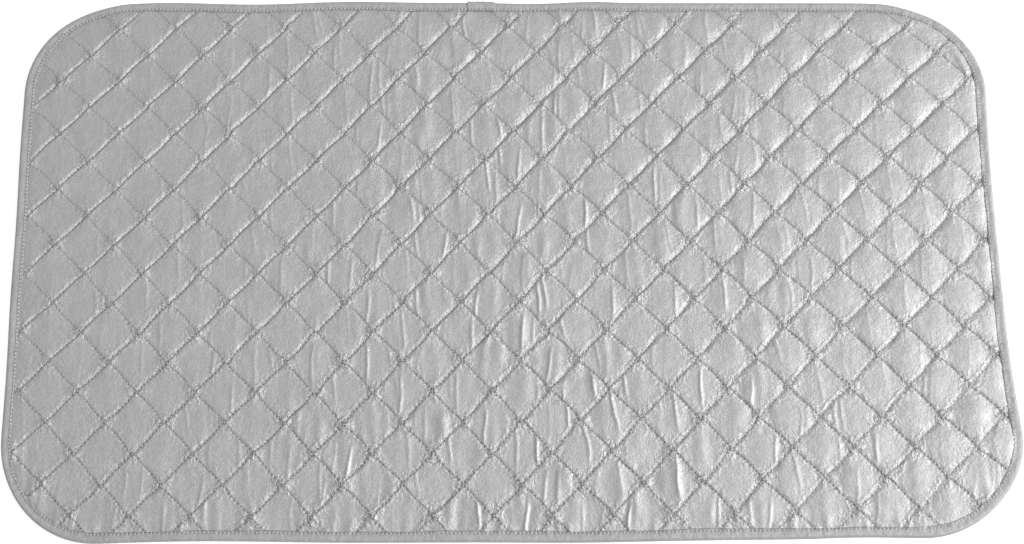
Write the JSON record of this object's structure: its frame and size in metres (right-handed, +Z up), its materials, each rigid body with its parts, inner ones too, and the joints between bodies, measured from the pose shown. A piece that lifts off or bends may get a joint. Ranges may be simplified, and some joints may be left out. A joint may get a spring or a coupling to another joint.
{
  "type": "ironing mat",
  "caption": "Flat quilted ironing mat with rounded corners, a silver-coated face in a diamond pattern, padded middle and a stitched cloth binding round the edge.",
  "frame": {"origin": "middle of the plane that the mat lies on", "axes": "+X along the mat's length, +Y across its width, +Z up out of the silver face"},
  "size_m": [0.85, 0.48, 0.0068],
  "materials": {
    "face_cloth": "silver-coated plain-weave cotton, soft satin sheen",
    "wadding": "needled polyester wadding",
    "backing_cloth": "plain-weave polyester, matt",
    "binding": "folded plain-weave tape, slight sheen",
    "quilting_thread": "spun polyester sewing thread",
    "binding_thread": "spun polyester sewing thread"
  },
  "bodies": {
    "root": {"face_cloth": "face_cloth", "wadding": "wadding", "backing_cloth": "backing_cloth", "edge_binding": "binding", "needle_thread_rising": "quilting_thread", "needle_thread_falling": "quilting_thread", "bobbin_thread_rising": "quilting_thread", "bobbin_thread_falling": "quilting_thread", "binding_needle_thread": "binding_thread", "binding_bobbin_thread": "binding_thread"}
  },
  "joints": []
}
